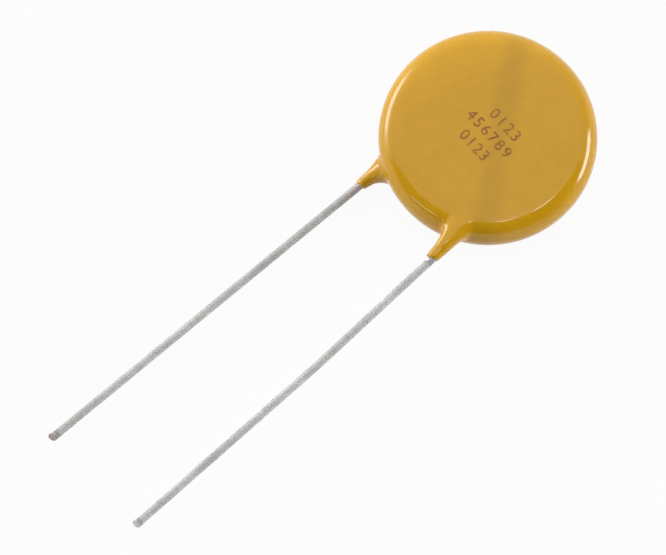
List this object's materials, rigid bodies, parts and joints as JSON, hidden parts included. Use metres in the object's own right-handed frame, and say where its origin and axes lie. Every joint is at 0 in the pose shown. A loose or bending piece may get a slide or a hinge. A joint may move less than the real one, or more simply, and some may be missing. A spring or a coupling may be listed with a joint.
{
  "type": "varistor",
  "caption": "Round epoxy-dipped disc varistor with straight tinned wire leads, to be soldered into a circuit board as surge protection.",
  "frame": {"origin": "centre of the coating's back face, on the surface that the part lies on", "axes": "+Z is the disc's axis, from the back face to the printed front face; the wires leave along -Y, the front one at +X and the back one at -X"},
  "size_m": [0.0214, 0.0625, 0.0042],
  "materials": {
    "epoxy": "glossy dipped ochre epoxy",
    "zinc_oxide": "matt sintered dark grey ceramic",
    "silver": "matt fired silver",
    "solder": "satin solder",
    "tinned_copper": "dull tin plating on copper wire"
  },
  "bodies": {
    "root": {"coating": "epoxy", "ceramic_disc": "zinc_oxide", "front_electrode": "silver", "back_electrode": "silver", "front_solder": "solder", "back_solder": "solder", "front_lead": "tinned_copper", "back_lead": "tinned_copper"}
  },
  "joints": []
}
